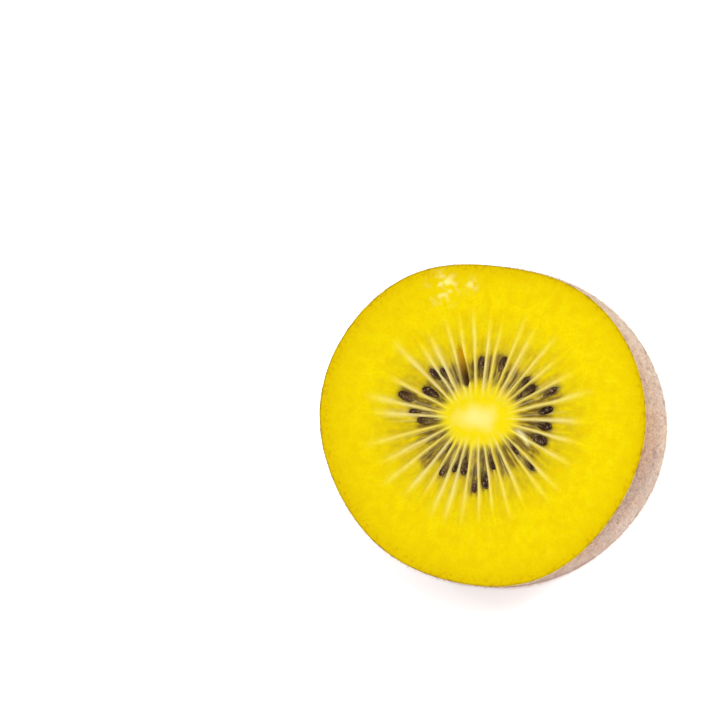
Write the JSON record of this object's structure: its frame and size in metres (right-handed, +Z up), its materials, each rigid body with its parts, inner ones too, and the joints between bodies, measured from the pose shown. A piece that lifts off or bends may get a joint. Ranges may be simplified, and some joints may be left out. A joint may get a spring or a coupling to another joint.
{
  "type": "golden kiwi fruit half",
  "caption": "Golden kiwi fruit cut across its middle, lying on its side, with pale oval core, rays and dark seeds in the yellow cut, brown skin and a woody stem scar.",
  "frame": {"origin": "on the resting surface, under the centre of the bounding box", "axes": "+Z up, the cut faces -Y and upward, +X along the wide side of the cut"},
  "size_m": [0.054, 0.048, 0.0491],
  "materials": {
    "flesh": "wet golden flesh of the cut",
    "skin": "dry brown skin with fine pale fuzz",
    "fuzz": "short fine hairs",
    "seed": "smooth, wet",
    "stem_scar": "rough, dry"
  },
  "bodies": {
    "root": {"fruit_half": "flesh"}
  },
  "joints": []
}
